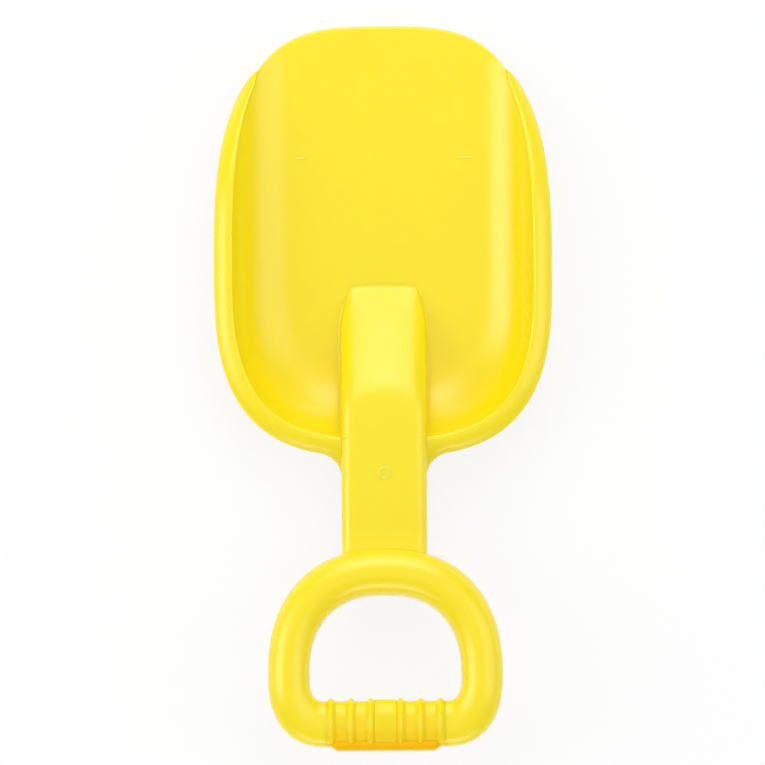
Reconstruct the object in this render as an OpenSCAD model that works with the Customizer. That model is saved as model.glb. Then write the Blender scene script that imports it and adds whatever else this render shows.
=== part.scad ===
// Toy sand shovel: a deep rounded scoop, a hollow-backed shaft and a D-shaped handle.
// It lies on the flat underside of the scoop at Z = 0 and the digging edge points along +Y.
// The origin is below the middle of the whole length. All lengths are in millimetres.

/* [Overall] */
// Wall thickness of the scoop and the shaft
wall_t = 2.4; // [1.8:0.1:3]

/* [Scoop] */
// Width over the rim
scoop_w = 126; // [112:1:138]
// Length from the digging edge to the back of the rim
scoop_l = 160.6; // [150:0.2:170]
// Length in front of the widest line
front_l = 91; // [84:1:98]
// Squareness of the outline seen from above
outline_power = 2.95; // [2.6:0.05:3.4]
// Width of the side walls seen from above
wall_run = 23.2; // [21:0.2:26]
// Radius between the floor and the walls
fillet_r = 23.4; // [22:0.2:26]
// Steepest slope of the walls
wall_angle = 69; // [64:1:72]
// Full width that the digging edge's outline would have at the widest line
edge_w = 116; // [112:1:120]
// Squareness of the digging edge
edge_power = 3.3; // [3:0.1:3.6]
// Depth of the bevel along the digging edge
edge_bevel = 0.5; // [0.3:0.1:1.2]

/* [Rim] */
// Width of the rolled rim seen from above
rim_w = 7.1; // [6:0.1:8.5]
// Distance by which the rim grows narrower towards the digging edge
rim_lead = 4.2; // [3:0.1:5]
// Height of the roll above the wall
rim_bulge = 2; // [1.2:0.1:2.6]
// Drop of the rim's outer edge below the wall's top
rim_drop = 3; // [2:0.1:4]
// Outline angle at which the rim ends beside the digging edge
notch_angle = 49; // [42:1:54]
// Part of that angle over which the rim tapers off
taper_angle = 7; // [5:1:10]
// Radius between the rim and the shaft
neck_r = 8; // [5:0.5:10]

/* [Shaft] */
// Length of the shaft between the scoop and the handle
shaft_l = 34.3; // [28:0.1:44]
// Width of the shaft
shaft_w = 31.8; // [28:0.2:36]
// Radius of the shaft's long edges
shaft_edge_r = 4; // [3:0.1:4.6]
// Length of the shaft inside the scoop, up to its toe
hump_l = 63.2; // [58:0.2:68]
// Slope of the ramp at the toe
hump_angle = 31; // [28:1:34]
// Length of the straight ramp
ramp_l = 32; // [28:0.5:36]
// Length over which the ramp's slope eases into the shaft's
hump_blend = 9; // [6:0.5:16]
// Width of the toe's round corners seen from above
toe_r = 4.6; // [3:0.2:6]
// Length of those corners along the shaft
toe_run = 10; // [6:0.5:14]
// Slope of the shaft behind the ramp
shaft_angle = 4; // [2:0.5:8]
// Length of the flat foot under the shaft, counted from its toe
foot_l = 52; // [46:1:58]
// Number of cross ribs in the back of the shaft
shaft_rib_count = 4; // [2:1:5]
// Thickness of all cross ribs
rib_t = 1.6; // [1.2:0.1:2.2]

/* [Handle] */
// Width of the handle
handle_w = 87.4; // [80:0.2:94]
// Length of the bow in front of its widest line
bow_front_l = 47.2; // [44:0.2:52]
// Length of the bow behind its widest line
bow_back_l = 26.2; // [24.6:0.2:28]
// Width of the bow where it meets the shaft
bow_w = 17.1; // [14:0.1:20]
// Width of the bow's sides
side_w = 15.5; // [13:0.1:18]
// Width of the rounded corners between the bow's sides and the grip
corner_w = 6; // [4:0.2:8]
// Wall thickness of the handle
handle_t = 2.2; // [1.6:0.1:2.6]
// Depth of the straight sides below the round front
skirt_d = 6.5; // [5.4:0.1:8]

/* [Grip] */
// Width of the grip
grip_w = 16.8; // [14:0.1:19]
// Height of the grip's arched front
grip_h = 5; // [4:0.1:8]
// Width of a finger rib
finger_w = 3; // [2:0.1:3.6]
// Height of a finger rib
finger_h = 1.25; // [0.7:0.05:1.5]
// Length of the plain panel between the middle ribs
panel_l = 8.1; // [6:0.1:12]
// Height of the plain panel
panel_h = 0.65; // [0.4:0.05:1]
// Distance between the ends of the pad and of the grip
pad_gap = 1.7; // [0.8:0.1:4]
// Height of the pad
pad_h = 1.5; // [0.8:0.1:2]

/* [Marks] */
// Diameter of the round moulding mark on the shaft
gate_d = 5; // [4:0.2:7]
// Diameter of the hollow in the moulding mark
gate_hole_d = 3; // [1.5:0.1:3.5]
// Distance of the moulding mark behind the scoop
gate_gap = 6; // [4:0.5:12]
// Distance of the level marks behind the digging edge
mark_gap = 49; // [40:1:60]
// Length of the level marks on the floor
mark_l = 4; // [3:0.2:6]
// Width of the level marks
mark_w = 0.9; // [0.6:0.1:1.4]
// Height of the moulded marks
mark_h = 0.3; // [0.2:0.05:0.5]

/* [Hidden] */
$fn = 48;

// How far a cut runs past the material
overrun = 2;

// Steps of the lofts
side_steps = 14;
neck_steps = 8;
rim_steps = 7;
taper_steps = 4;
edge_steps = 12;
fillet_steps = 8;
roll_steps = 8;
skirt_steps = 8;
blend_steps = 22;
toe_steps = 7;
corner_steps = 5;
bow_steps = 30;
bow_corner_steps = 8;
crown_steps = 12;
grip_steps = 24;
pad_steps = 17;
finger_arc_steps = 6;
step_power = 1.5;

// Whole length, from the digging edge to the back of the pad
total_l = scoop_l + (shaft_l + bow_front_l + bow_back_l + pad_h) * cos(shaft_angle)
    + skirt_d * sin(shaft_angle);

// Scoop outline, measured from the middle of its widest line
tip_y = total_l / 2;
mid_y = tip_y - front_l;
rear_y = tip_y - scoop_l;
back_l = scoop_l - front_l;
rim_half = scoop_w / 2;
crest_half = rim_half - rim_w;
crest_back = back_l - rim_w;
crest_front = front_l + rim_lead;
edge_half = edge_w / 2;
floor_half = crest_half - wall_run;
rim_end_share = 0.8;
rim_end_power = 3;

// Section of the wall, measured outwards from the edge of the flat floor
arc_angle = asin(min(sin(wall_angle), wall_run / fillet_r));
arc_run = fillet_r * sin(arc_angle);
wall_h = wall_z(wall_run);

// Shaft profile: the sides end on the ground along the foot and rise from there to the bow
half_w = shaft_w / 2;
toe_y = rear_y + hump_l;
toe_slope = tan(hump_angle);
shaft_slope = tan(shaft_angle);
foot_y = toe_y - foot_l;
skirt_power = 1.25;
least_r_share = 0.1;
core_r_share = 0.25;
rib_cut_share = 0.3;

// Handle frame: X across, Y along the shaft, Z out of the shaft's face
bow_half = handle_w / 2;
opening_half = bow_half - side_w;
opening_front_l = bow_front_l - bow_w;
opening_back_l = bow_back_l - grip_w;
bow_power = 2.33;
opening_power = 2.38;
corner_power = 2.7;
bow_rib_angles = [0, 36, 144, 180];
grip_half = opening_half - corner_w;
grip_l = 2 * grip_half;
grip_r = grip_w / 2;
grip_y = grip_r - bow_back_l;
bow_front_y = rear_y - shaft_l * cos(shaft_angle);
handle_y = bow_front_y - bow_front_l * cos(shaft_angle);
handle_z = shaft_z(handle_y);
skirt_end_z = shaft_z(bow_front_y) - skirt_d * cos(shaft_angle);

// Grip pattern, with angles counted from the opening over the front of the grip
side_ribs = 3;
pad_start = 180 * pad_steps / grip_steps;
pad_l = grip_l - 2 * pad_gap;
finger_gap = 0.35;
finger_x = grip_half - finger_gap - finger_w / 2;
finger_r = (pow(finger_w / 2, 2) + pow(finger_h, 2)) / (2 * finger_h);
finger_arc = asin(finger_w / 2 / finger_r);
panel_half = panel_l / 2;
finger_pitch = (finger_x - finger_w / 2 - panel_half) / (side_ribs - 1);
web_pitch_share = 0.34;

function mix(a, b, share) = a + (b - a) * share;
function last(list) = len(list) - 1;
function flat(lists) = [for (list = lists) each list];

// Point of a rounded outline at angle t
function bend(v, power) = sign(v) * pow(abs(v), 2 / power);
function outline(a, b, power, t) = [a * bend(cos(t), power), b * bend(sin(t), power)];

// From 0 along the rim to 1 along the digging edge, the same on both sides
function taper(t) = let (front = atan2(sin(t), abs(cos(t))))
    max(0, min(1, 1 + (front - notch_angle) / taper_angle));

// The wall's top line, the digging edge and the rim's outside
function crest(t) = outline(crest_half, sin(t) < 0 ? crest_back : crest_front, outline_power, t);
function dig_edge(t) = outline(edge_half, front_l, edge_power, t);
function pan_edge(t) = mix(crest(t), dig_edge(t), taper(t));
function rim_plain(t) = outline(rim_half, sin(t) < 0 ? back_l : front_l, outline_power, t);

// The rim runs into the shaft's sides in a round neck and dies out beside the digging edge
function neck_drop(x) = x >= half_w + neck_r ? 0
    : neck_r - sqrt(max(0, pow(neck_r, 2) - pow(neck_r - max(0, x - half_w), 2)));
function rim_edge(t) = let (p = rim_plain(t)) sin(t) < 0 ? [p.x, p.y - neck_drop(abs(p.x))]
    : mix(p, dig_edge(t), rim_end_share * pow(taper(t), rim_end_power));

// Distance from the flat floor's edge, and the wall's slope and two faces there
function run_at(p) = (p.y >= 0 ? abs(p.x) : crest_half
    * pow(pow(abs(p.x) / crest_half, outline_power) + pow(abs(p.y) / crest_back, outline_power),
    1 / outline_power)) - floor_half;
function tilt(d) = d <= 0 ? 0 : d < arc_run ? asin(d / fillet_r) : arc_angle;
function wall_z(d) = wall_t + fillet_r * (1 - cos(tilt(d))) + max(0, d - arc_run) * tan(arc_angle);
function under_z(d) = wall_t + fillet_r
    - sqrt(pow(fillet_r + wall_t, 2) - pow(min(max(0, d), fillet_r), 2));

// Inner and outer face of the scoop at share q of the way out to the edge
function inner_point(q, t) = let (p = q * pan_edge(t), bevel = q == 1 ? edge_bevel * taper(t) : 0)
    [p.x, mid_y + p.y, wall_z(run_at(p)) - bevel];
function outer_point(q, t) = let (p = q * pan_edge(t), d = run_at(p), out = wall_t * sin(tilt(d)),
        s = p.y >= 0 ? [p.x + sign(p.x) * out, p.y] : p * (1 + out / (d + floor_half)))
    mix([s.x, mid_y + s.y, wall_z(d) - wall_t * cos(tilt(d))], [p.x, mid_y + p.y, under_z(d)], taper(t));

// Outline angles, close together round the necks; the rear ones count back from the widest line
function rear_angle(x) = acos(pow(x / crest_half, outline_power / 2));
neck_far = half_w + neck_r + wall_t;
neck_near = half_w - wall_t;
rear_angles = concat(
    [for (i = [0 : side_steps - 1]) rear_angle(neck_far) * pow(i / side_steps, step_power)],
    [for (i = [0 : neck_steps]) rear_angle(mix(neck_far, neck_near, i / neck_steps))],
    [rear_angle(neck_near / 2), 90]);
rim_angles = concat(
    [for (i = [1 : rim_steps]) (notch_angle - taper_angle) * pow(i / rim_steps, step_power)],
    [for (i = [1 : taper_steps]) notch_angle - taper_angle * (1 - i / taper_steps)]);
edge_angles = [for (i = [1 : edge_steps]) 90 - (90 - notch_angle) * pow(1 - i / edge_steps, step_power)];
pan_angles = concat([for (i = [last(rear_angles) : -1 : 0]) -rear_angles[i]], rim_angles, edge_angles,
    [for (i = [last(edge_angles) - 1 : -1 : 0]) 180 - edge_angles[i]],
    [for (i = [last(rim_angles) : -1 : 0]) 180 - rim_angles[i]],
    [for (i = [0 : last(rear_angles) - 1]) 180 + rear_angles[i]]);
lip_angles = concat([for (i = [last(rim_angles) : -1 : 0]) rim_angles[i]], -rear_angles,
    [for (i = [last(rear_angles) - 1 : -1 : 0]) rear_angles[i] - 180], [for (a = rim_angles) -180 - a]);
floor_shares = [0.55, 0.8];
pan_shares = concat(floor_shares * floor_half / crest_half,
    [for (i = [0 : fillet_steps - 1])
        (floor_half + fillet_r * sin(arc_angle * i / fillet_steps)) / crest_half], [1]);

// Faces between loops of count points each, and a solid lofted through closed sections
function loft_faces(rings, count) = [for (i = [0 : rings - 2], j = [0 : count - 1])
    let (k = (j + 1) % count, a = i * count)
    each [[a + j, a + k, a + count + k], [a + j, a + count + k, a + count + j]]];
function flip(faces) = [for (f = faces) [for (i = [last(f) : -1 : 0]) f[i]]];
function shift_faces(faces, by) = [for (f = faces) [for (i = f) i + by]];
function cap(start, count) = [for (j = [0 : count - 1]) start + j];
module loft(sections) {
    rings = len(sections);
    count = len(sections[0]);
    polyhedron(points = flat(sections), faces = concat(loft_faces(rings, count),
        flip([cap(0, count)]), [cap((rings - 1) * count, count)]), convexity = 6);
}

// Height of the shaft's face, its slope, its lower edge and the ceiling of its back
function shaft_z(y) = let (s = max(0, toe_y - y), a = min(s, ramp_l), b = min(s - a, hump_blend))
    wall_t + toe_slope * (a + b) + (shaft_slope - toe_slope) * pow(b, 2) / (2 * hump_blend)
    + shaft_slope * (s - a - b);
function slope_at(y) = mix(toe_slope, shaft_slope, min(1, max(0, (toe_y - y - ramp_l) / hump_blend)));
function skirt_z(y) = skirt_end_z
    * pow(max(0, min(1, (foot_y - y) / (foot_y - bow_front_y))), skirt_power);
function ceiling_z(y) = shaft_z(y) - wall_t * sqrt(1 + pow(slope_at(y), 2));

// Half width of the shaft or, with an inset, of its hollow, and the rows that its lofts run through
function toe_corner(inset) = toe_r - min(inset, toe_r / 2);
function toe_half(y, inset) = let (s = min(1, max(0, toe_y - inset - y) / toe_run))
    half_w - inset - toe_corner(inset) * (1 - sqrt(1 - pow(1 - s, 2)));
function shaft_rows(inset) = let (front = toe_y - inset)
    concat([for (i = [-1 : skirt_steps - 1]) mix(bow_front_y, foot_y, i / skirt_steps)],
    [for (i = [0 : blend_steps]) mix(foot_y, front - toe_run, i / blend_steps)],
    [for (i = [1 : toe_steps]) front - toe_run + toe_run * sin(90 * i / toe_steps)]);

// Sections across the shaft and its hollow, from low up over the round edges and down again
function shaft_section(y, half, top, r, low) = concat([[half, y, low]],
    [for (i = [0 : corner_steps]) let (a = 90 * i / corner_steps)
        [half - r + r * cos(a), y, top - r + r * sin(a)]],
    [for (i = [corner_steps : -1 : 0]) let (a = 90 * i / corner_steps)
        [-half + r - r * cos(a), y, top - r + r * sin(a)]],
    [[-half, y, low]]);
function edge_r(y) = max(wall_t * least_r_share, min(shaft_edge_r, shaft_z(y) - wall_t));
function outer_section(y) = shaft_section(y, toe_half(y, 0), shaft_z(y), edge_r(y), skirt_z(y));
function core_section(y, low) = shaft_section(y, toe_half(y, wall_t), ceiling_z(y),
    min(max(wall_t * core_r_share, edge_r(y) - wall_t), (ceiling_z(y) - low) / 2), low);

// Handle frame, and pairs of points on the two outlines of the bow with the crown's share of full height
module handle_frame() translate([0, handle_y, handle_z]) rotate([-shaft_angle, 0, 0]) children();
function bow_pair(t) = [outline(opening_half, opening_front_l, opening_power, t),
    outline(bow_half, bow_front_l, bow_power, t), 1];
function corner_pair(t, side) = let (grip_end = [side * grip_half, 0]) [
    grip_end + outline(side * (opening_half - grip_half), -opening_back_l, corner_power, t),
    grip_end + outline(side * (bow_half - grip_half), -bow_back_l, bow_power, t),
    mix(1, grip_h / grip_r, pow(sin(t), 2))];
bow_pairs = concat([for (i = [bow_corner_steps : -1 : 1]) corner_pair(90 * i / bow_corner_steps, 1)],
    [for (i = [0 : bow_steps]) bow_pair(180 * i / bow_steps)],
    [for (i = [1 : bow_corner_steps]) corner_pair(90 * i / bow_corner_steps, -1)]);

// Section of the bow between its two outlines: round in front, straight sides down to low
function arch(pair, inset, low) = let (w = norm(pair[1] - pair[0]), e = (pair[1] - pair[0]) / w, r = w / 2)
    [for (sz = concat([[inset, low]],
        [for (i = [0 : crown_steps]) let (a = 180 * i / crown_steps)
            [r - (r - inset) * cos(a), (r * pair[2] - inset) * sin(a)]],
        [[w - inset, low]]))
        let (p = pair[0] + e * sz[0]) [p.x, p.y, sz[1]]];

// Floor and walls: two faces lofted through the same outlines and closed along the edge
module scoop_pan() color("gold") difference() {
    n = len(pan_angles);
    rings = len(pan_shares);
    inner = [for (q = pan_shares, t = pan_angles) inner_point(q, t)];
    outer = [for (q = pan_shares, t = pan_angles) outer_point(q, t)];
    top = (rings - 1) * n;
    under = rings * n;
    polyhedron(points = concat(inner, outer), faces = concat(
        loft_faces(rings, n), flip([cap(0, n)]),
        shift_faces(flip(loft_faces(rings, n)), under), [cap(under, n)],
        [for (j = [0 : n - 1]) let (k = (j + 1) % n)
            each [[top + j, top + k, under + top + k], [top + j, under + top + k, under + top + j]]]),
        convexity = 8);
    shaft_slot();
}

// Slot in the scoop for the shaft, with the same rows as the shaft's own toe
module shaft_slot() translate([0, 0, -overrun]) linear_extrude(wall_h + 2 * overrun) {
    rows = shaft_rows(0);
    polygon(concat([for (y = rows) [toe_half(y, 0), y]],
        [for (i = [last(rows) : -1 : 0]) [-toe_half(rows[i], 0), rows[i]]]));
}

// Rolled rim that starts on the wall's top edge and stops at the shaft's sides
module rim_lip() color("gold") difference() {
    loft([for (t = lip_angles) lip_section(t)]);
    translate([-half_w, rear_y - neck_r - overrun, 0])
        cube([shaft_w, rim_w + neck_r + wall_t + 2 * overrun, wall_h + rim_bulge + overrun]);
}
function lip_section(t) = let (a = inner_point(1, t), b = outer_point(1, t), o = rim_edge(t),
        reach = [o.x, o.y + mid_y] - [a.x, a.y], size = min(1, norm(reach) / rim_w),
        drop = rim_drop * size, bulge = rim_bulge * size)
    concat([for (i = [0 : roll_steps]) let (u = 180 * i / roll_steps, s = (1 - cos(u)) / 2)
        [a.x + reach.x * s, a.y + reach.y * s, a.z + bulge * sin(u) - drop * s]],
        [(b + [a.x + reach.x, a.y + reach.y, a.z - drop]) / 2 - [0, 0, drop / 4], b]);

// Short raised dashes on the floor
module level_marks() color("goldenrod") for (side = [-1, 1])
    translate([side * (floor_half - mark_l / 2), tip_y - mark_gap, wall_t]) linear_extrude(mark_h) {
        square([mark_l - mark_w, mark_w], center = true);
        for (end = [-1, 1]) translate([end * (mark_l - mark_w) / 2, 0]) circle(d = mark_w);
    }

// Shaft with its hump, hollow from behind and cut to the outside of the bow
module shaft() color("gold") difference() {
    loft([for (y = shaft_rows(0)) outer_section(y)]);
    loft([for (y = shaft_rows(wall_t)) core_section(y, -overrun)]);
    handle_frame() translate([0, 0, -skirt_d - overrun]) linear_extrude(skirt_d + 2 * overrun)
        polygon([for (p = bow_pairs) p[1]]);
}

module shaft_ribs() color("goldenrod") for (i = [1 : shaft_rib_count]) {
    y = mix(foot_y, bow_front_y, i / (shaft_rib_count + 1));
    low = mix(skirt_z(y), ceiling_z(y), rib_cut_share);
    loft([for (side = [-1, 1]) core_section(y + side * rib_t / 2, low)]);
}

// Round mark left by the moulding
module gate_mark() color("goldenrod") handle_frame()
    translate([0, (rear_y - gate_gap - handle_y) / cos(shaft_angle), 0]) difference() {
        cylinder(d = gate_d, h = mark_h);
        translate([0, 0, -overrun]) cylinder(d = gate_hole_d, h = mark_h + 2 * overrun);
    }

// Bow of the handle: an open channel that ends at both ends of the grip
module handle_bow() color("gold") handle_frame() {
    n = crown_steps + 3;
    rings = len(bow_pairs);
    sections = [for (p = bow_pairs) concat(arch(p, 0, -skirt_d),
        let (core = arch(p, handle_t, -skirt_d)) [for (i = [n - 1 : -1 : 0]) core[i]])];
    start = [for (j = [0 : n - 2]) [j, j + 1, 2 * n - 2 - j, 2 * n - 1 - j]];
    polyhedron(points = flat(sections), faces = concat(flip(loft_faces(rings, 2 * n)), start,
        shift_faces(flip(start), (rings - 1) * 2 * n)), convexity = 6);
}

module bow_ribs() color("goldenrod") handle_frame() for (t = bow_rib_angles) {
    pair = bow_pair(t);
    turn = asin(rib_t / norm(pair[0] + pair[1]));
    loft([for (side = [1, -1]) arch(bow_pair(t + side * turn), handle_t, -skirt_d * (1 - rib_cut_share))]);
}

// Profile across the grip: an arch in front, straight sides behind
module grip_profile(inset, low) polygon(concat([[grip_r - inset, -low]],
    [for (i = [0 : grip_steps]) let (a = 180 * i / grip_steps)
        [(grip_r - inset) * cos(a), (grip_h - inset) * sin(a)]],
    [[inset - grip_r, -low]]));
module along_grip(l) translate([-l / 2, grip_y, 0]) rotate([90, 0, 90]) linear_extrude(l) children();

module grip_bar() color("gold") handle_frame() along_grip(grip_l) difference() {
    grip_profile(0, skirt_d);
    grip_profile(handle_t, skirt_d + overrun);
}

module grip_webs() color("goldenrod") handle_frame() for (i = [-1 : 1])
    translate([i * web_pitch_share * grip_l, 0, 0]) along_grip(rib_t)
        grip_profile(handle_t, skirt_d * (1 - rib_cut_share));

// Wraps a profile of [place along the grip, height] round the grip from its lower edge to the pad
grip_stations = concat([[0, skirt_d]], [for (i = [0 : pad_steps]) [180 * i / grip_steps, 0]]);
module wrap_grip(profile) loft([for (s = grip_stations) [for (p = profile)
    [p[0], grip_y + (grip_r + p[1]) * cos(s[0]), (grip_h + p[1]) * sin(s[0]) - s[1]]]]);

finger_profile = [for (i = [0 : finger_arc_steps]) let (a = finger_arc * (2 * i / finger_arc_steps - 1))
    [finger_r * sin(a), finger_h - finger_r * (1 - cos(a))]];
module finger_ribs() color("gold") handle_frame() for (side = [-1, 1], i = [0 : side_ribs - 1])
    translate([side * (finger_x - i * finger_pitch), 0, 0]) wrap_grip(finger_profile);

module grip_panel() color("gold") handle_frame() wrap_grip([[-panel_half, 0], [-panel_half, panel_h],
    [panel_half, panel_h], [panel_half, 0]]);

// Pad over the outer side of the grip, with slanted ends
module grip_pad() color("orange") handle_frame() intersection() {
    along_grip(pad_l) difference() {
        grip_profile(-pad_h, skirt_d);
        grip_profile(0, skirt_d + overrun);
        polygon([[0, 0], grip_w * [cos(pad_start), sin(pad_start) * grip_h / grip_r], [0, grip_w],
            [grip_w, grip_w], [grip_w, -grip_w], [0, -grip_w]]);
    }
    translate([0, grip_y, -skirt_d - overrun]) linear_extrude(grip_w + skirt_d)
        polygon([[-pad_l / 2 - pad_h, 0], [pad_l / 2 + pad_h, 0],
            [pad_l / 2 - pad_h, -grip_w], [pad_h - pad_l / 2, -grip_w]]);
}

scoop_pan();
rim_lip();
level_marks();
shaft();
shaft_ribs();
gate_mark();
handle_bow();
bow_ribs();
grip_bar();
grip_webs();
finger_ribs();
grip_panel();
grip_pad();
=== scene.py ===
import math

import bmesh
import bpy
import numpy as np
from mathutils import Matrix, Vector


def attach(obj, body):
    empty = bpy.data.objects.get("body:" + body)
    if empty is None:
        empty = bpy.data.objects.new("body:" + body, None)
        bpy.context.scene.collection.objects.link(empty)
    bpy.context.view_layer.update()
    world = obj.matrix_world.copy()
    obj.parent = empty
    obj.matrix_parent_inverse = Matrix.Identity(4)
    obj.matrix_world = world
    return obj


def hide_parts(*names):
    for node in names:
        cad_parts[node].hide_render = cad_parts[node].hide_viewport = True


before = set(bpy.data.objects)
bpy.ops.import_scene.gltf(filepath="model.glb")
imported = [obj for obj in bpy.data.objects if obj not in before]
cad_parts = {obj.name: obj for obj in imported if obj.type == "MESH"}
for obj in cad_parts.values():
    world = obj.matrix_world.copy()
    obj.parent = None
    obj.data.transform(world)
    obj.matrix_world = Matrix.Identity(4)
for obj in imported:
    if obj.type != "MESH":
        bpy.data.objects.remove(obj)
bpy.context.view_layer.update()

BODY = "root"
MM = 0.001

# Sizes of the solids, in millimetres and degrees
wall_t = 2.4
scoop_w, scoop_l, front_l = 126.0, 160.6, 91.0
outline_power, edge_power = 2.95, 3.3
wall_run, fillet_r, wall_angle = 23.2, 23.4, 69.0
edge_w = 116.0
rim_w, rim_lead, rim_bulge, rim_drop = 7.1, 4.2, 2.0, 3.0
taper_angle, neck_r = 7.0, 8.0
shaft_l, shaft_w, shaft_edge_r = 34.3, 31.8, 4.0
hump_l, hump_angle, ramp_l, hump_blend = 63.2, 31.0, 32.0, 9.0
toe_r, toe_run = 4.6, 10.0
shaft_angle, foot_l, skirt_power = 4.0, 52.0, 1.25
shaft_rib_count, rib_t, rib_cut_share = 4, 1.6, 0.3
handle_w, bow_front_l, bow_back_l = 87.4, 47.2, 26.2
bow_w, side_w, corner_w = 17.1, 15.5, 6.0
bow_power, opening_power, corner_power = 2.33, 2.38, 2.7
handle_t, skirt_d = 2.2, 6.5
bow_rib_angles = (0, 36, 144, 180)
grip_w, grip_h = 16.8, 5.0
finger_w, finger_h, finger_gap = 3.0, 1.25, 0.35
panel_l, panel_h, pad_gap, pad_h = 8.1, 0.65, 1.7, 1.5
web_pitch_share = 0.34
gate_d, gate_hole_d, gate_gap = 5.0, 3.0, 6.0
mark_gap, mark_l, mark_w, mark_h = 49.0, 4.0, 0.9, 0.3

# Sizes that differ from the solids, or that only the scene has
notch_angle, rim_end_share, rim_end_power = 46.0, 0.5, 3
rim_tuck_share, rim_tuck_d = 0.12, 0.25
edge_bevel, bevel_start_share, lip_share = 0.2, 0.95, 0.4
toe_narrow, toe_narrow_run, toe_corner, toe_ease = 4.2, 20.0, 3.4, 1.3
hump_crown, hump_edge_r, hump_bulge, hump_soft = 11.0, 6.0, 3.0, 3.0
least_rise, crown_share, round_share = 0.02, 0.5, 0.5
flare_r, flare_share, root_d = 1.2, 0.22, 1.2
base_lift, hem_r, core_hem_r = 0.15, 0.4, 0.3
shaft_overlap, bow_fit_l = 1.0, 14
rib_round, rib_round_mid = 0.45, 0.15
skirt_round, skirt_round_mid = 0.5, 0.3
finger_spread, panel_foot, panel_soft = 2.1, 0.6, 1.0
pad_start, pad_lead, pad_overlap, pad_fine = 140.5, 1, 2, 10
pad_slant, pad_soft = 2.6, 6.0
pad_shoulder, pad_round, pad_kick = 0.8, 0.4, 0.1
dash_lean, dash_narrow, ring_h_share = 0.85, 0.12, 0.6

# Sinking of pieces into each other, overrun of cutters, inset of the shaft's slot, and limits for the meshes
seat, sink, overrun, slot_inset = 0.3, 0.06, 2.0, 1.0
merge_m, sharp_angle = 1e-7, 38

# Places worked out from the sizes
lean_cos, lean_sin = math.cos(math.radians(shaft_angle)), math.sin(math.radians(shaft_angle))
total_l = scoop_l + (shaft_l + bow_front_l + bow_back_l + pad_h) * lean_cos + skirt_d * lean_sin
tip_y = total_l / 2
mid_y = tip_y - front_l
rear_y = tip_y - scoop_l
back_l = scoop_l - front_l
rim_half = scoop_w / 2
crest_half = rim_half - rim_w
crest_back = back_l - rim_w
crest_front = front_l + rim_lead
edge_half = edge_w / 2
floor_half = crest_half - wall_run
arc_angle = math.asin(min(math.sin(math.radians(wall_angle)), wall_run / fillet_r))
arc_run = fillet_r * math.sin(arc_angle)
half_w = shaft_w / 2
core_edge_r = shaft_edge_r - wall_t
toe_y = rear_y + hump_l
toe_front = toe_y + toe_ease
toe_slope = math.tan(math.radians(hump_angle))
shaft_slope = math.tan(math.radians(shaft_angle))
foot_y = toe_y - foot_l
slot_half, slot_front = half_w - slot_inset, toe_y - slot_inset
bow_half = handle_w / 2
opening_half, opening_front_l, opening_back_l = bow_half - side_w, bow_front_l - bow_w, bow_back_l - grip_w
grip_half, grip_r = opening_half - corner_w, grip_w / 2
grip_l, grip_y = 2 * grip_half, grip_r - bow_back_l
bow_front_y = rear_y - shaft_l * lean_cos
handle_y = bow_front_y - bow_front_l * lean_cos
finger_x = grip_half - finger_gap - finger_w / 2
finger_pitch = (finger_x - finger_w / 2 - panel_l / 2) / 2
panel_half = panel_l / 2 + panel_foot
pad_half = grip_half - pad_gap

# Steps round curves
quarter_turn = np.radians(np.linspace(0, 90, 7))
half_turn = np.radians(np.linspace(0, 180, 13))
toe_steps = 1 - np.sin(np.radians(np.linspace(0, 90, 25)))


def mix(a, b, share):
    return a + (b - a) * share


def smooth(x):
    x = np.clip(x, 0, 1)
    return x * x * (3 - 2 * x)


# Outlines of the scoop, measured from the middle of its widest line

def bend(v, power):
    return np.sign(v) * np.abs(v) ** (2 / power)


def outline(a, b, power, t):
    return np.stack([a * bend(np.cos(t), power), b * bend(np.sin(t), power)], axis=-1)


def taper(t):
    """0 where the rim runs, 1 along the digging edge."""
    front = np.degrees(np.arctan2(np.sin(t), np.abs(np.cos(t))))
    return np.clip(1 + (front - notch_angle) / taper_angle, 0, 1)


def pan_edge(t):
    crest = outline(crest_half, np.where(np.sin(t) < 0, crest_back, crest_front), outline_power, t)
    return mix(crest, outline(edge_half, front_l, edge_power, t), taper(t)[:, None])


def neck_drop(x):
    reach = np.clip(neck_r - np.maximum(0, x - half_w), 0, neck_r)
    return neck_r - np.sqrt(neck_r ** 2 - reach ** 2)


def rim_edge(t):
    plain = outline(rim_half, np.where(np.sin(t) < 0, back_l, front_l), outline_power, t)
    front = mix(plain, outline(edge_half, front_l, edge_power, t),
                rim_end_share * taper(t)[:, None] ** rim_end_power)
    rear = plain - np.stack([0 * t, neck_drop(np.abs(plain[:, 0]))], axis=-1)
    return np.where(np.sin(t)[:, None] < 0, rear, front)


# Section of the wall, measured outwards from the edge of the flat floor

def run_at(p):
    x, y = np.abs(p[..., 0]), p[..., 1]
    powers = (x / crest_half) ** outline_power + (np.abs(y) / crest_back) ** outline_power
    return np.where(y >= 0, x, crest_half * powers ** (1 / outline_power)) - floor_half


def tilt(d):
    return np.arcsin(np.clip(d / fillet_r, 0, math.sin(arc_angle)))


def wall_z(d):
    return wall_t + fillet_r * (1 - np.cos(tilt(d))) + np.maximum(0, d - arc_run) * math.tan(arc_angle)


def under_z(d):
    return wall_t + fillet_r - np.sqrt((fillet_r + wall_t) ** 2 - np.clip(d, 0, fillet_r) ** 2)


def pan_z(x, y):
    return wall_z(run_at(np.stack(np.broadcast_arrays(x, y - mid_y), axis=-1)))


def inner_face(q, t):
    p = pan_edge(t)[None] * q[:, None, None]
    bevel = edge_bevel * np.clip((q - bevel_start_share) / (1 - bevel_start_share), 0, 1) ** 2
    z = wall_z(run_at(p)) - bevel[:, None] * taper(t)[None]
    return np.stack([p[..., 0], p[..., 1] + mid_y, z], axis=-1)


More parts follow.
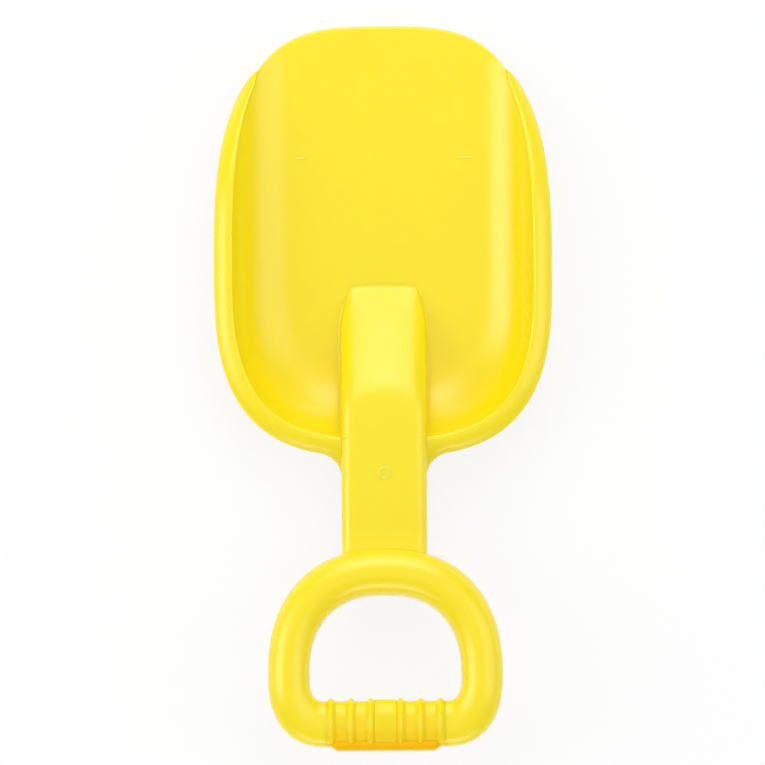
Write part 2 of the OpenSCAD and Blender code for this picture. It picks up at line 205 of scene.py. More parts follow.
def outer_face(q, t):
    p = pan_edge(t)[None] * q[:, None, None]
    d = run_at(p)
    out = wall_t * np.sin(tilt(d))
    side = np.stack([p[..., 0] + np.sign(p[..., 0]) * out, p[..., 1]], axis=-1)
    back = p * (1 + out / (d + floor_half))[..., None]
    s = np.where(p[..., 1:] >= 0, side, back)
    wall = np.stack([s[..., 0], s[..., 1] + mid_y, wall_z(d) - wall_t * np.cos(tilt(d))], axis=-1)
    edge = np.stack([p[..., 0], p[..., 1] + mid_y, under_z(d)], axis=-1)
    return mix(wall, edge, taper(t)[None, :, None])


# Profile of the shaft

def shaft_z(y, ramp=ramp_l, blend=hump_blend):
    s = np.maximum(0, toe_y - y)
    a = np.minimum(s, ramp)
    b = np.minimum(s - a, blend)
    bent = (shaft_slope - toe_slope) * b ** 2 / (2 * blend)
    return wall_t + toe_slope * (a + b) + bent + shaft_slope * (s - a - b)


def slope_at(y):
    return mix(toe_slope, shaft_slope, np.clip((toe_y - y - ramp_l) / hump_blend, 0, 1))


handle_z = float(shaft_z(handle_y))
skirt_end_z = float(shaft_z(bow_front_y)) - skirt_d * lean_cos


def skirt_z(y):
    return skirt_end_z * np.clip((foot_y - y) / (foot_y - bow_front_y), 0, 1) ** skirt_power


def ceiling_z(y):
    return shaft_z(y) - wall_t * np.sqrt(1 + slope_at(y) ** 2)


def corner_cut(y, front, run, width):
    """How far a front corner that is a quarter ellipse is set in at y."""
    s = np.clip((front - y) / run, 0, 1)
    return width * (1 - np.sqrt(1 - (1 - s) ** 2))


def toe_half_at(y, front, half):
    """Half width at y of the shaft's outline, which narrows to a toe with rounded corners."""
    s = np.clip((front - y) / toe_narrow_run, 0, 1)
    return half - toe_narrow * (1 - s) ** 2 - corner_cut(y, front, toe_corner, toe_corner)


def from_handle(points):
    """Points in the shared frame from the handle's own, which leans with the shaft."""
    x, y, z = points[..., 0], points[..., 1], points[..., 2]
    return np.stack([x, handle_y + y * lean_cos + z * lean_sin,
                     handle_z - y * lean_sin + z * lean_cos], axis=-1)


def even_steps(curve, lo, hi, count):
    """Parameters that split a curve into steps of equal length."""
    t = np.linspace(lo, hi, 20001)
    steps = np.linalg.norm(np.diff(curve(t), axis=0), axis=1)
    s = np.concatenate([[0], np.cumsum(steps)])
    return np.interp(np.linspace(0, s[-1], count), s, t)


# Meshes

def grid_faces(rows, cols, ring=False):
    """Quads between closed rows of points; ring also joins the last row to the first."""
    faces = []
    for i in range(rows if ring else rows - 1):
        this, after = i * cols, (i + 1) % rows * cols
        for j in range(cols):
            k = (j + 1) % cols
            faces.append((this + j, this + k, after + k, after + j))
    return faces


def loft(sections):
    """Points and faces of a closed solid through closed sections."""
    rows, cols = sections.shape[:2]
    faces = grid_faces(rows, cols)
    faces.append(tuple(range(cols)))
    faces.append(tuple(range((rows - 1) * cols, rows * cols)))
    return sections.reshape(-1, 3), faces


def prism(plan, heights):
    """Upright solid on a flat outline between two heights."""
    return loft(np.stack([np.column_stack([plan, np.full(len(plan), z)]) for z in heights]))


def solid(name, *parts):
    """A mesh object in metres from parts of points in millimetres and faces, with its normals outwards."""
    bm = bmesh.new()
    for points, faces in parts:
        verts = [bm.verts.new(p * MM) for p in np.asarray(points, float)]
        for face in faces:
            bm.faces.new([verts[i] for i in face])
    bmesh.ops.remove_doubles(bm, verts=bm.verts, dist=merge_m)
    bmesh.ops.dissolve_degenerate(bm, edges=bm.edges, dist=merge_m)
    bmesh.ops.recalc_face_normals(bm, faces=bm.faces)
    mesh = bpy.data.meshes.new(name)
    bm.to_mesh(mesh)
    bm.free()
    obj = bpy.data.objects.new(name, mesh)
    bpy.context.scene.collection.objects.link(obj)
    return obj


def cut(obj, cutter):
    """Takes the cutter out of an object and removes the cutter."""
    mod = obj.modifiers.new("cut", "BOOLEAN")
    mod.operation, mod.solver, mod.object = "DIFFERENCE", "EXACT", cutter
    bpy.context.view_layer.update()
    whole = obj.data
    obj.data = bpy.data.meshes.new_from_object(obj.evaluated_get(bpy.context.evaluated_depsgraph_get()))
    obj.modifiers.remove(mod)
    obj.data.name = whole.name
    bpy.data.meshes.remove(whole)
    bpy.data.objects.remove(cutter)


def dress(obj, material, slot, *nodes):
    """Smooth shading, material, body and replaced nodes; slot is not used."""
    obj.data.polygons.foreach_set("use_smooth", [True] * len(obj.data.polygons))
    obj.data.set_sharp_from_angle(angle=math.radians(sharp_angle))
    obj.data.materials.clear()
    obj.data.materials.append(material)
    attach(obj, BODY)
    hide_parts(*nodes)


# Shader nodes

def math_node(tree, operation, *values):
    """Result of a Math node on sockets and numbers."""
    node = tree.nodes.new("ShaderNodeMath")
    node.operation = operation
    for socket, value in zip(node.inputs, values):
        if isinstance(value, float):
            socket.default_value = value
        else:
            tree.links.new(value, socket)
    return node.outputs["Value"]


def range_node(tree, value, limits, kind="LINEAR"):
    """Result of a Map Range node; limits are where it maps from and where to."""
    node = tree.nodes.new("ShaderNodeMapRange")
    node.interpolation_type = kind
    for key, number in zip(("From Min", "From Max", "To Min", "To Max"), limits):
        node.inputs[key].default_value = number
    tree.links.new(value, node.inputs["Value"])
    return node.outputs["Result"]


# Materials: noises are scale, detail and stretch; bumps are strength and distance in metres

plastic_ior, scatter, scatter_radius = 1.49, 0.3, (0.0024, 0.0016, 0.0004)
cloud_noise, cloud_range = (14.0, 2.0), (0.25, 0.75, 0.0, 1.0)
scuff_noise, scuff_range = (420.0, 4.0, (1.0, 0.25, 1.0)), (0.35, 0.75, 0.2, 0.245)
flow_noise, flow_range = (60.0, 2.0, (1.0, 0.12, 1.0)), (0.3, 0.7, 0.0, 0.02)
wave_noise, wave_bump = (70.0, 1.0), (0.25, 0.0002)
grain_noise, grain_bump = (1600.0, 2.0), (0.12, 0.00002)


def moulded_plastic(name, base, deep, gloss, shade_ramp=None):
    """Glossy moulded plastic: cloudy colour, a wavy skin, and a gloss broken by faint flow lines and fine scuffs.

    With shade_ramp, a range of y and one of the distance from the middle in metres, the colour turns from base to
    deep along the first and back to base along the second, in place of the cloudy colour: painted shade on the side
    that faces away from the lamps.
    """
    material = bpy.data.materials.new(name)
    material.use_nodes = True
    tree = material.node_tree
    nodes, links = tree.nodes, tree.links
    shader = nodes["Principled BSDF"]
    shader.inputs["IOR"].default_value = plastic_ior
    shader.inputs["Specular IOR Level"].default_value = gloss
    shader.inputs["Subsurface Weight"].default_value = scatter
    shader.inputs["Subsurface Radius"].default_value = scatter_radius
    shader.inputs["Subsurface Scale"].default_value = 1.0
    place = nodes.new("ShaderNodeTexCoord")

    def noise(scale, detail, stretch=None):
        node = nodes.new("ShaderNodeTexNoise")
        node.inputs["Scale"].default_value = scale
        node.inputs["Detail"].default_value = detail
        if stretch:
            mapping = nodes.new("ShaderNodeMapping")
            mapping.inputs["Scale"].default_value = stretch
            links.new(place.outputs["Object"], mapping.inputs["Vector"])
            links.new(mapping.outputs["Vector"], node.inputs["Vector"])
        else:
            links.new(place.outputs["Object"], node.inputs["Vector"])
        return node.outputs["Fac"]

    def bump(height, strength, distance):
        node = nodes.new("ShaderNodeBump")
        node.inputs["Strength"].default_value = strength
        node.inputs["Distance"].default_value = distance
        links.new(height, node.inputs["Height"])
        return node

    colour = nodes.new("ShaderNodeMix")
    colour.data_type = "RGBA"
    colour.inputs["A"].default_value = (*base, 1.0)
    colour.inputs["B"].default_value = (*deep, 1.0)
    if shade_ramp:
        along, off_middle = shade_ramp
        split = nodes.new("ShaderNodeSeparateXYZ")
        links.new(place.outputs["Object"], split.inputs["Vector"])
        distance = math_node(tree, "ABSOLUTE", split.outputs["X"])
        share = math_node(tree, "MULTIPLY", range_node(tree, split.outputs["Y"], (*along, 0.0, 1.0)),
                          range_node(tree, distance, (*off_middle, 1.0, 0.0)))
    else:
        share = range_node(tree, noise(*cloud_noise), cloud_range)
    links.new(share, colour.inputs["Factor"])
    links.new(colour.outputs["Result"], shader.inputs["Base Color"])

    roughness = math_node(tree, "ADD", range_node(tree, noise(*scuff_noise), scuff_range),
                          range_node(tree, noise(*flow_noise), flow_range))
    links.new(roughness, shader.inputs["Roughness"])

    waves = bump(noise(*wave_noise), *wave_bump)
    grain = bump(noise(*grain_noise), *grain_bump)
    links.new(waves.outputs["Normal"], grain.inputs["Normal"])
    links.new(grain.outputs["Normal"], shader.inputs["Normal"])
    return material


def linear(*display):
    """Linear colour from 8-bit display values."""
    return tuple(v / 12.92 if v <= 0.04045 else ((v + 0.055) / 1.055) ** 2.4 for v in (d / 255 for d in display))


# Painted shade: the grip's bar, finger ribs and panel turn from yellow to deeper orange towards the grip's outer
# edge, which faces away from the lamps, across the middle of the grip
painted_shade_range = (-0.119, -0.1315), (0.019, 0.0235)
yellow = moulded_plastic("yellow_plastic", linear(248, 226, 14), linear(247, 225, 12), 0.7)
# Painted highlight: the level dashes and the gate ring are the same plastic, painted paler for the light their raised
# tops catch
highlight_painted_yellow = moulded_plastic("mark_plastic_painted_highlight", linear(253, 233, 56), linear(252, 232, 52), 0.65)
shade_painted_yellow = moulded_plastic("grip_plastic_painted_shade", linear(249, 225, 13), linear(254, 209, 8), 0.45, painted_shade_range)
# Painted shade: the pad is the same plastic as the rest, painted deep amber because it faces away from the lamps
painted_shade_amber = moulded_plastic("grip_plastic", linear(253, 193, 4), linear(252, 189, 3), 0.05)


# Scoop: inner face, rounded edge and outer face in rings from the middle out and back; q is a share of the way out

first_q, last_q, edge_q = 0.02, 0.985, np.array([1.0])
right_t = even_steps(pan_edge, -math.pi / 2, math.pi / 2, 241)
pan_t = np.append(right_t, math.pi - right_t[-2:0:-1])
fillet_q = (floor_half + fillet_r * np.sin(arc_angle * np.arange(1, 33) / 32)) / crest_half
pan_q = np.concatenate([np.linspace(first_q, floor_half / crest_half, 9), fillet_q, [last_q]])
inner = inner_face(pan_q, pan_t)
outer = outer_face(pan_q, pan_t)
top, low = inner_face(edge_q, pan_t)[0], outer_face(edge_q, pan_t)[0]
outward = pan_edge(pan_t)
outward = np.column_stack([outward / np.linalg.norm(outward, axis=1)[:, None], 0 * pan_t])
lip_r = np.linalg.norm(top - low, axis=1)[:, None] / 2
rounding = [(top + low) / 2 + (top - low) / 2 * math.sin(a)
            + outward * lip_r * lip_share * (math.cos(a) - 1) * taper(pan_t)[:, None]
            for a in np.linspace(math.pi / 2, -math.pi / 2, 9)]
rings = np.concatenate([inner, np.array(rounding), outer[::-1]])
count, ring_n = len(pan_t), len(rings)
centres = np.array([[0, mid_y, wall_t], [0, mid_y, 0]])
pan_faces = grid_faces(ring_n, count)
for j in range(count):
    k = (j + 1) % count
    pan_faces.append((ring_n * count, j, k))
    pan_faces.append((ring_n * count + 1, (ring_n - 1) * count + k, (ring_n - 1) * count + j))
scoop_pan = solid("scoop_pan_skin", (np.concatenate([rings.reshape(-1, 3), centres]), pan_faces))

slot_y = slot_front - toe_narrow_run * toe_steps
right = np.column_stack([toe_half_at(slot_y, slot_front, slot_half), slot_y])
right = np.concatenate([[[slot_half, rear_y - neck_r]], right])
slot_plan = np.concatenate([right, right[::-1] * [-1, 1]])
slot_high = wall_z(np.array(wall_run)) + overrun
cut(scoop_pan, solid("slot_cut", prism(slot_plan, (-overrun, slot_high))))
dress(scoop_pan, yellow, "yellow_plastic", "scoop_pan")


# Rolled rim, open where the shaft passes through

rim_t = even_steps(rim_edge, math.radians(-180 - notch_angle), math.radians(notch_angle), 561)
crest, foot = inner_face(edge_q, rim_t)[0], outer_face(edge_q, rim_t)[0]
rim_plan = rim_edge(rim_t)
reach = np.column_stack([rim_plan[:, 0] - crest[:, 0], rim_plan[:, 1] + mid_y - crest[:, 1], 0 * rim_t])
size = np.minimum(1, np.linalg.norm(reach, axis=1) / rim_w)[:, None]
up = np.array([0, 0, 1.0])
roll = []
for u in np.radians(np.linspace(0, 180, 25)):
    over = (1 - math.cos(u)) / 2
    roll.append(crest + reach * over + up * size * (size * rim_bulge * math.sin(u) - rim_drop * over))
rim_low = crest + reach - up * size * rim_drop
under = (foot + rim_low) / 2 - up * size * rim_drop / 4
tuck = mix(rim_low, under, rim_tuck_share) - up * size * rim_tuck_d
rim_lip = solid("rim_lip_skin", loft(np.stack(roll + [tuck, under, foot], axis=1)))

gap_rear, gap_front = rear_y - neck_r - overrun, rear_y + rim_w + wall_t + overrun
rim_gap = np.array([[-slot_half, gap_rear], [slot_half, gap_rear], [slot_half, gap_front], [-slot_half, gap_front]])
cut(rim_lip, solid("rim_cut", prism(rim_gap, (0.0, slot_high + rim_bulge))))
dress(rim_lip, yellow, "yellow_plastic", "rim_lip")


# Shaft: a channel whose hump runs out of the floor in soft fillets

def hump_z(y):
    """Face of the shaft with a soft start at its toe."""
    s = toe_y - y
    ramp = np.where(s > toe_ease, s, np.clip(s + toe_ease, 0, None) ** 2 / (4 * toe_ease))
    share = np.clip(s / (ramp_l + hump_blend), 0, 1)
    bulge = hump_bulge * share * (1 - share) ** 2
    top = shaft_z(y, ramp_l - hump_soft, hump_blend + 2 * hump_soft)
    return top + toe_slope * (ramp - np.maximum(0, s)) + bulge


def shaft_outside(y):
    """Outside of the shaft's section at y, from the right lower edge over the face to the left one."""
    half = float(toe_half_at(y, toe_front, half_w))
    face = float(hump_z(y))
    low = max(base_lift, float(skirt_z(y)))
    if y > rear_y + rim_w:
        ground = float(pan_z(np.array(half), np.array(y)))
        rise = max(face - ground, least_rise)
        on_hump = float(smooth((y - (toe_y - ramp_l - 2 * hump_blend)) / (2 * hump_blend)))
        lean = min(math.radians(hump_crown), math.atan(crown_share * rise / half)) * on_hump
        r, f = mix(shaft_edge_r, hump_edge_r, on_hump), min(flare_r, flare_share * rise)
        round_h = min(r, round_share * rise)
        far = float(pan_z(np.array(half + f), np.array(y)))
        side = [(half, low), (half, ground - root_d), (half + f, far - 4 * sink), (half + f, far - sink)]
        side += [(half + f - f * math.sin(u), mix(far, ground, math.sin(u)) + f * (1 - math.cos(u)))
                 for u in quarter_turn[1:]]
    else:
        r, round_h, lean = shaft_edge_r, shaft_edge_r, 0.0
        side = [(half - hem_r, low), (half - hem_r / 4, low + hem_r / 4), (half, low + hem_r)]
        side += [(half, mix(low + hem_r, face - r, i / 8)) for i in range(1, 8)]
    end = math.atan2(round_h, r * math.tan(lean))
    flat_half = half - r + r * math.cos(end)
    dip = math.tan(lean) / (2 * flat_half)
    arc_z = face - dip * flat_half ** 2 - round_h * math.sin(end)
    arc = [(half - r + r * math.cos(u), arc_z + round_h * math.sin(u)) for u in np.linspace(0, end, 11)]
    crown = [(x, face - dip * x ** 2) for x in flat_half * (1 - np.arange(1, 6) / 6)]
    right = side + arc + crown
    return np.array(right + [(0.0, face)] + [(-x, z) for x, z in right[::-1]])


def shaft_inside(y):
    """Hollow of the shaft's section at y, from right to left."""
    front, width = toe_y - wall_t, toe_r - min(wall_t, toe_r / 2)
    y = min(y, front)
    half = half_w - wall_t - float(corner_cut(y, front, toe_run, width))
    top, low = float(ceiling_z(y)), max(base_lift, float(skirt_z(y)))
    round_r = min(core_edge_r, (top - low) / 2)
    right = [(half + core_hem_r, low), (half, low + core_hem_r)]
    right += [(half - round_r + round_r * math.cos(u), top - round_r + round_r * math.sin(u)) for u in quarter_turn]
    return np.array(right + [(-x, z) for x, z in right[::-1]])


def bow_line(x):
    return bow_front_l * (1 - (np.abs(x) / bow_half) ** bow_power) ** (1 / bow_power)


shaft_rear = bow_front_y - shaft_overlap
rows = np.concatenate([np.linspace(shaft_rear, rear_y - neck_r, 30),
                       np.linspace(rear_y - neck_r, rear_y + rim_w, 16)[1:],
                       np.linspace(rear_y + rim_w, toe_front - toe_run, 90)[1:],
                       toe_front - toe_run * toe_steps[1:]])
core_rows = np.where(rows > foot_y, mix(foot_y, toe_y - wall_t, (rows - foot_y) / (toe_front - foot_y)), rows)


def place_row(section, y):
    """A section of the shaft at y, bent to the bow's front near the handle."""
    lean = smooth(1 - (y - shaft_rear) / bow_fit_l) * (bow_line(section[:, 0]) - bow_front_l)
    return np.column_stack([section[:, 0], y + lean, section[:, 1] - lean * shaft_slope])


outside = np.stack([place_row(shaft_outside(y), y) for y in rows])
inside = np.stack([place_row(shaft_inside(y), y) for y in core_rows])
loops = np.concatenate([outside, inside[:, ::-1]], axis=1)
n_out, n_all = outside.shape[1], loops.shape[1]
front = (len(rows) - 1) * n_all
shaft_faces = grid_faces(len(rows), n_all)
shaft_faces.append(tuple(range(n_all)))
shaft_faces.append(tuple(range(front, front + n_out)))
shaft_faces.append(tuple(range(front + n_out, front + n_all)))
shaft_faces.append((front, front + n_out - 1, front + n_out, front + n_all - 1))
dress(solid("shaft_skin", (loops.reshape(-1, 3), shaft_faces)), yellow, "yellow_plastic", "shaft")


# Cross ribs in the back of the shaft; slices are places across a rib and how far its free edge is rounded back

rib_side = [(-rib_t / 2, rib_round), (-rib_t / 2 + rib_round_mid, rib_round_mid), (-rib_t / 2 + rib_round, 0.0)]
rib_slices = rib_side + [(-offset, back) for offset, back in rib_side[::-1]]
rib_parts = []
for i in range(1, shaft_rib_count + 1):
    y = mix(foot_y, bow_front_y, i / (shaft_rib_count + 1))
    low = mix(float(skirt_z(y)), float(ceiling_z(y)), rib_cut_share)
    slices = []
    for offset, back in rib_slices:
        half, top = half_w - wall_t + seat, float(ceiling_z(y + offset)) + seat
        right = [(half, low + back), (half, top - core_edge_r), (half - core_edge_r, top)]
        slices.append([(x, y + offset, z) for x, z in right + [(-x, z) for x, z in right[::-1]]])
    rib_parts.append(loft(np.array(slices)))
dress(solid("shaft_rib_set", *rib_parts), yellow, "yellow_plastic", "shaft_ribs")


# Bow of the handle: round in front, straight skirts behind, open at the back

def bow_pair(t):
    return outline(opening_half, opening_front_l, opening_power, t), outline(bow_half, bow_front_l, bow_power, t)


def corner_pair(t, side):
    end = np.array([side * grip_half, 0.0])
    return (end + outline(side * (opening_half - grip_half), -opening_back_l, corner_power, t),
            end + outline(side * (bow_half - grip_half), -bow_back_l, bow_power, t))


def corner_crown(t):
    return mix(1, grip_h / grip_r, math.sin(t) ** 2)


crown_a = np.radians(np.linspace(0, 180, 37))
core_a = np.radians(np.linspace(180, 0, 25))


def channel(width, crown=1.0):
    """Closed section of a channel: across, and out of the handle's face.

    crown is its height as a share of a round one.
    """
    r, core, low = width / 2, width / 2 - handle_t, -skirt_d
    h, e, m = r * crown, skirt_round, skirt_round_mid * skirt_round
    points = [(e, low), (m, low + m), (0, low + e), (0, low / 2)]
    points += [(r - r * math.cos(u), h * math.sin(u)) for u in crown_a]
    points += [(width, low / 2), (width, low + e), (width - m, low + m), (width - e, low)]
    points += [(width - handle_t + e, low), (width - handle_t, low + e)]
    points += [(r - core * math.cos(u), (h - handle_t) * math.sin(u)) for u in core_a]
    points += [(handle_t, low + e), (handle_t - e, low)]
    return np.array(points)


def web_section(core, crown, back):
    """Section of a cross rib in a channel, from its middle: half width, height, and set-back of the free edge."""
    base = -skirt_d * (1 - rib_cut_share) + back
    arch = [(-core * math.cos(u), crown * math.sin(u)) for u in half_turn]
    return np.array([(-core, base)] + arch + [(core, base)])


def across(pair, section):
    """Places a section between the two outlines of the bow."""
    inner_p, outer_p = pair
    direction = (outer_p - inner_p) / np.linalg.norm(outer_p - inner_p)
    plan = inner_p + section[:, :1] * direction
    return np.column_stack([plan, section[:, 1]])


corner_t = even_steps(lambda t: corner_pair(t, 1)[1], 0, math.pi / 2, 41)
front_t = even_steps(lambda t: bow_pair(t)[1], 0, math.pi, 161)
stations = [(corner_pair(t, 1), corner_crown(t)) for t in corner_t[:0:-1]]
stations += [(bow_pair(t), 1.0) for t in front_t]
stations += [(corner_pair(t, -1), corner_crown(t)) for t in corner_t[1:]]
bow_sections = np.stack([across(p, channel(np.linalg.norm(p[1] - p[0]), crown)) for p, crown in stations])
dress(solid("handle_bow_skin", loft(from_handle(bow_sections))), yellow, "yellow_plastic", "handle_bow")

rib_parts = []
for angle in np.radians(bow_rib_angles):
    inner_p, outer_p = bow_pair(angle)
    span = np.linalg.norm(outer_p - inner_p)
    along = np.array([-(outer_p - inner_p)[1], (outer_p - inner_p)[0]]) / span
    core = span / 2 - handle_t + seat
    slices = []
    for offset, back in rib_slices:
        section = web_section(core, core, back) + [span / 2, 0]
        slices.append(across((inner_p + along * offset, outer_p + along * offset), section))
    rib_parts.append(loft(from_handle(np.array(slices))))
dress(solid("bow_rib_set", *rib_parts), yellow, "yellow_plastic", "bow_ribs")


# Grip: a straight piece of the same channel with webs, finger ribs, a plain panel and a pad

# Bar, finger ribs and panel carry painted shade towards the grip's outer edge
bar_section = channel(grip_w, grip_h / grip_r)
bar_x = np.linspace(-grip_half, grip_half, 45)
bar_sections = np.stack([np.column_stack([np.full(len(bar_section), x), -opening_back_l - bar_section[:, 0],
                                          bar_section[:, 1]]) for x in bar_x])
dress(solid("grip_bar_skin", loft(from_handle(bar_sections))), shade_painted_yellow, "yellow_plastic", "grip_bar")

rib_parts = []
for i in (-1, 0, 1):
    slices = []
    for offset, back in rib_slices:
        section = web_section(grip_r - handle_t + seat, grip_h - handle_t + seat, back)
        slices.append([(i * web_pitch_share * grip_l + offset, grip_y + s, z) for s, z in section])
    rib_parts.append(loft(from_handle(np.array(slices))))
dress(solid("grip_web_set", *rib_parts), yellow, "yellow_plastic", "grip_webs")


def wrap_grip(x, height, stations):
    """Solid over the grip, with its base sunk in: heights on a grid of places along it and stations round it.

    A station is an angle from the inside of the grip and a drop below it.
    """
    angle, drop = np.radians(stations[:, 0]), stations[:, 1]
    layers = []
    for h in (height, np.full_like(height, -seat)):
        layers.append(np.stack([np.broadcast_to(x[:, None], h.shape),
                                grip_y + (grip_r + h) * np.cos(angle)[None],
                                (grip_h + h) * np.sin(angle)[None] - drop[None]], axis=-1))
    sections = np.concatenate([layers[0], layers[1][:, ::-1]], axis=1)
    return loft(from_handle(sections))


def band(x, height):
    """Solid round the grip from its inside to the pad, with one height all the way round at each x."""
    return wrap_grip(x, np.repeat(height[:, None], len(round_stations), axis=1), round_stations)


round_stations = np.concatenate([np.column_stack([np.zeros(6), np.linspace(skirt_d, 0, 7)[:-1]]),
                                 np.column_stack([np.linspace(0, pad_start + pad_overlap, 54), np.zeros(54)])])
dx = np.linspace(-finger_spread, finger_spread, 25)
finger_height = finger_h * (0.5 + 0.5 * np.cos(math.pi * dx / finger_spread)) - sink
finger_parts = [band(side * (finger_x - i * finger_pitch) + dx, finger_height) for side in (-1, 1) for i in range(3)]
dress(solid("finger_rib_set", *finger_parts), shade_painted_yellow, "yellow_plastic", "finger_ribs")

dx = np.linspace(-panel_half, panel_half, 31)
panel_height = panel_h * smooth((panel_half - np.abs(dx)) / panel_soft) - sink
dress(solid("grip_panel_skin", band(dx, panel_height)), shade_painted_yellow, "yellow_plastic", "grip_panel")

pad_angles = np.concatenate([np.linspace(pad_start - pad_lead, pad_start + pad_fine, 12),
                             np.linspace(pad_start + pad_fine, 180, 10)[1:]])
pad_stations = np.concatenate([np.column_stack([pad_angles, 0 * pad_angles]),
                               np.column_stack([np.full(10, 180.0), np.linspace(0, skirt_d, 11)[1:]])])
dx = np.linspace(-pad_half, pad_half, 91)
ends = np.clip((pad_half - np.abs(dx)) / pad_slant, 0, 1)
ends = np.where(ends > pad_shoulder, 1 - (1 - ends) ** 2 / pad_round,
                ends + pad_kick * np.minimum(1, ends / pad_shoulder))
starts = smooth((pad_stations[:, 0] - pad_start + pad_lead) / pad_soft)
pad_share = np.clip(ends, 0, 1)[:, None] * starts[None]
pad_height = pad_h * pad_share - sink * (1 - pad_share)
# The pad's amber colour is painted shade
dress(solid("grip_pad_skin", wrap_grip(dx, pad_height, pad_stations)), painted_shade_amber, "grip_plastic", "grip_pad")


# Raised marks: level dashes on the floor and the ring left by the moulding

# The marks take the paler colour, which is a painted highlight
def wedge(points, height, levels=7):
    """Sections of a solid on a flat outline round the origin that rises towards its edge at low y."""
    low_y = points[:, 1].min()
    sections = [np.column_stack([points, np.full(len(points), -seat)])]
    for share in np.linspace(0, 1, levels):
        y = mix(points[:, 1], low_y * dash_lean, dash_lean * share)
        sections.append(np.column_stack([points[:, 0] * (1 - dash_narrow * share), y,
                                         np.full(len(points), height * math.sin(share * math.pi / 2))]))
    return np.array(sections)


turn = np.linspace(0, 2 * math.pi, 33)[:-1]
dash_x = np.cos(turn) * mark_w / 2 + np.sign(np.cos(turn)) * (mark_l - mark_w) / 2
dash = wedge(np.column_stack([dash_x, np.sin(turn) * mark_w / 2]), mark_h)
mark_parts = [loft(dash + np.array([side * (floor_half - mark_l / 2), tip_y - mark_gap, wall_t])) for side in (-1, 1)]
dress(solid("level_dash_set", *mark_parts), highlight_painted_yellow, "yellow_plastic", "level_marks")

ring_mid, ring_half = (gate_d + gate_hole_d) / 4, (gate_d - gate_hole_d) / 4
ring_h = ring_h_share * mark_h
ring_profile = [(ring_mid + ring_half * s, ring_h * (1 + math.cos(math.pi * s)) / 2) for s in np.linspace(1, -1, 13)]
ring_profile += [(ring_mid - ring_half, -seat), (ring_mid + ring_half, -seat)]
gate_centre = (rear_y - gate_gap - handle_y) / lean_cos
around = np.linspace(0, 2 * math.pi, 49)[:-1]
ring_points = np.array([[(d * math.cos(u), gate_centre + d * math.sin(u), h) for d, h in ring_profile]
                        for u in around])
ring_faces = grid_faces(len(around), len(ring_profile), ring=True)
gate_ring = solid("gate_ring", (from_handle(ring_points).reshape(-1, 3), ring_faces))
dress(gate_ring, highlight_painted_yellow, "yellow_plastic", "gate_mark")


# Floor: mostly white to rays that show the background and matt besides, so that it keeps the shadow

floor_half_m, floor_drop_m, floor_grey, floor_glow = 4.0, 0.0002, 0.9, 0.82
white = (1.0, 1.0, 1.0, 1.0)
bpy.ops.mesh.primitive_plane_add(size=2 * floor_half_m, location=(0, 0, -floor_drop_m))
floor = bpy.context.object
floor.name = "floor"
floor_material = bpy.data.materials.new("pale_floor")
floor_material.use_nodes = True
tree = floor_material.node_tree
nodes, links = tree.nodes, tree.links
nodes.clear()
surface = nodes.new("ShaderNodeOutputMaterial")
matt = nodes.new("ShaderNodeBsdfDiffuse")
matt.inputs["Color"].default_value = (floor_grey, floor_grey, floor_grey, 1.0)
glow = nodes.new("ShaderNodeEmission")
glow.inputs["Color"].default_value = white
path = nodes.new("ShaderNodeLightPath")
seen = math_node(tree, "MAXIMUM", path.outputs["Is Camera Ray"], path.outputs["Is Glossy Ray"])
seen = math_node(tree, "MAXIMUM", seen, path.outputs["Is Transmission Ray"])
blend = nodes.new("ShaderNodeMixShader")
links.new(math_node(tree, "MULTIPLY", seen, floor_glow), blend.inputs["Fac"])
links.new(matt.outputs["BSDF"], blend.inputs[1])
links.new(glow.outputs["Emission"], blend.inputs[2])
links.new(blend.outputs["Shader"], surface.inputs["Surface"])
floor.data.materials.append(floor_material)


# World: an even dome, brighter round a direction a little in front of the zenith

dome_lean, dome_range = math.radians(8), (0.72, 0.99, 0.42, 0.76)
scene = bpy.context.scene
world = bpy.data.worlds.new("studio")
scene.world = world
world.use_nodes = True
tree = world.node_tree
background = tree.nodes["Background"]
background.inputs["Color"].default_value = white
view = tree.nodes.new("ShaderNodeTexCoord")
height = tree.nodes.new("ShaderNodeVectorMath")
height.operation = "DOT_PRODUCT"
height.inputs[1].default_value = (0.0, math.sin(dome_lean), math.cos(dome_lean))
tree.links.new(view.outputs["Generated"], height.inputs[0])
strength = range_node(tree, height.outputs["Value"], dome_range, "SMOOTHSTEP")
tree.links.new(strength, background.inputs["Strength"])


# Lights

light_aim = Vector((0.0, 0.02, 0.02))


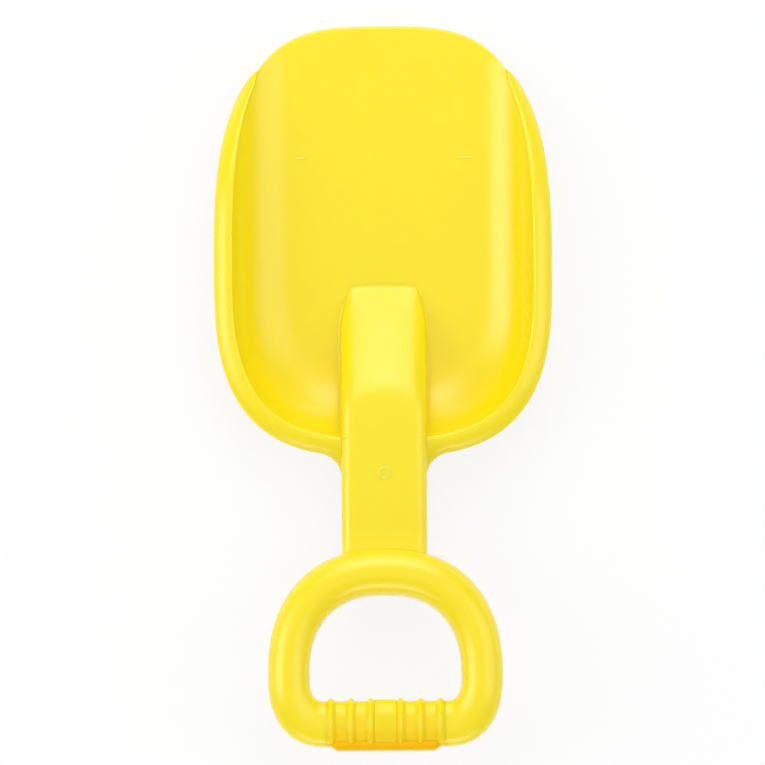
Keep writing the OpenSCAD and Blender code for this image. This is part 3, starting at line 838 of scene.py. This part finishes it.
def softbox(name, azimuth, polar, distance, width, height, radiance, fade):
    """Area light towards the object from a direction in degrees, with edges that fade over a share of its size."""
    lamp = bpy.data.lights.new(name, "AREA")
    lamp.shape = "RECTANGLE"
    lamp.size, lamp.size_y = width, height
    lamp.energy = radiance * math.pi * width * height
    lamp.use_nodes = True
    tree = lamp.node_tree
    where = tree.nodes.new("ShaderNodeNewGeometry")
    sides = tree.nodes.new("ShaderNodeSeparateXYZ")
    tree.links.new(where.outputs["Parametric"], sides.inputs["Vector"])
    level = None
    for axis in "XY":
        for start, end in ((0.0, fade), (1.0, 1.0 - fade)):
            ramp = range_node(tree, sides.outputs[axis], (start, end, 0.0, 1.0), "SMOOTHSTEP")
            level = ramp if level is None else math_node(tree, "MULTIPLY", level, ramp)
    tree.links.new(level, tree.nodes["Emission"].inputs["Strength"])
    obj = bpy.data.objects.new(name, lamp)
    scene.collection.objects.link(obj)
    turn, tip = math.radians(azimuth), math.radians(polar)
    away = Vector((math.sin(tip) * math.cos(turn), math.sin(tip) * math.sin(turn), math.cos(tip)))
    obj.location = light_aim + away * distance
    obj.rotation_euler = (-away).to_track_quat("-Z", "Y").to_euler()


softbox("softbox_front", azimuth=90, polar=50, distance=1.1, width=1.3, height=1.2, radiance=2.6, fade=0.42)
softbox("softbox_low", azimuth=90, polar=79, distance=1.2, width=1.7, height=0.42, radiance=1.5, fade=0.35)
softbox("softbox_left", azimuth=180, polar=56, distance=1.0, width=1.0, height=1.25, radiance=2.6, fade=0.42)
softbox("softbox_right", azimuth=0, polar=46, distance=1.0, width=1.15, height=1.5, radiance=1.22, fade=0.38)
softbox("softbox_back", azimuth=270, polar=74, distance=1.0, width=1.4, height=0.6, radiance=2.1, fade=0.35)


# Camera straight above, in millimetres and degrees; its scale holds at view_z

frame_px, mm_per_px, camera_roll = 765, 0.37217, -0.35
centre_x, centre_y, view_z, camera_h = -0.43, 2.02, 20.0, 6000.0
camera_data = bpy.data.cameras.new("camera")
camera_data.sensor_width = 36.0
camera_data.lens = camera_data.sensor_width * (camera_h - view_z) / (frame_px * mm_per_px)
camera = bpy.data.objects.new("camera", camera_data)
scene.collection.objects.link(camera)
camera.location = (centre_x * MM, centre_y * MM, camera_h * MM)
camera.rotation_euler = (0.0, 0.0, math.radians(camera_roll))
scene.camera = camera
scene.view_settings.view_transform = "Standard"
